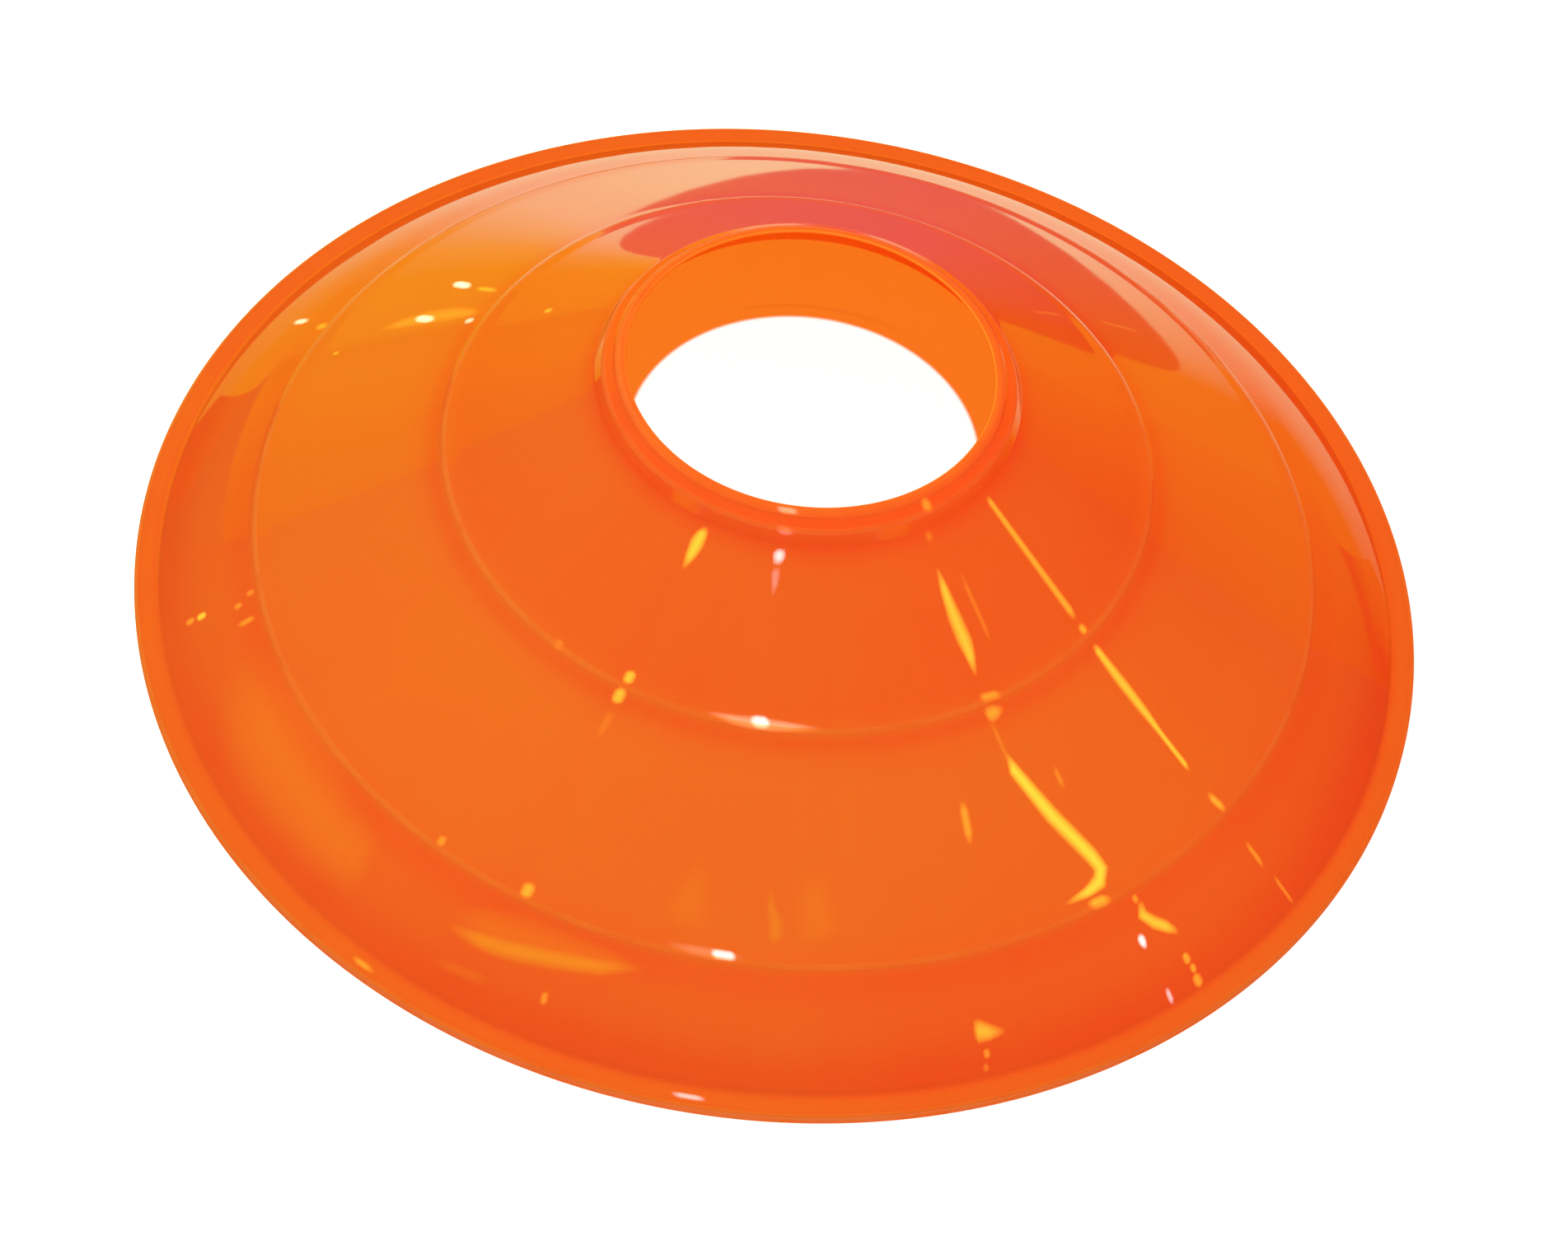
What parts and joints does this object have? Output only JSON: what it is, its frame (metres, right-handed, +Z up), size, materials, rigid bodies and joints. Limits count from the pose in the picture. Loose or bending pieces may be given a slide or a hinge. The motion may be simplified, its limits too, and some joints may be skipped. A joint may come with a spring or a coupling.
{
  "type": "saucer cone",
  "caption": "Low dished field marker moulded in translucent orange plastic: a beaded hole at the top, a sloping wall stiffened by raised rings, and a flat rim that rests on the ground.",
  "frame": {"origin": "centre of the round foot, on the ground", "axes": "+Z up along the cone's axis, towards the hole; X and Y lie on the ground and are alike, because the part is round"},
  "size_m": [0.19, 0.19, 0.05],
  "materials": {
    "orange_plastic": "glossy, translucent, fluorescent orange, moulded in one piece"
  },
  "bodies": {
    "root": {"cone_shell": "orange_plastic"}
  },
  "joints": []
}
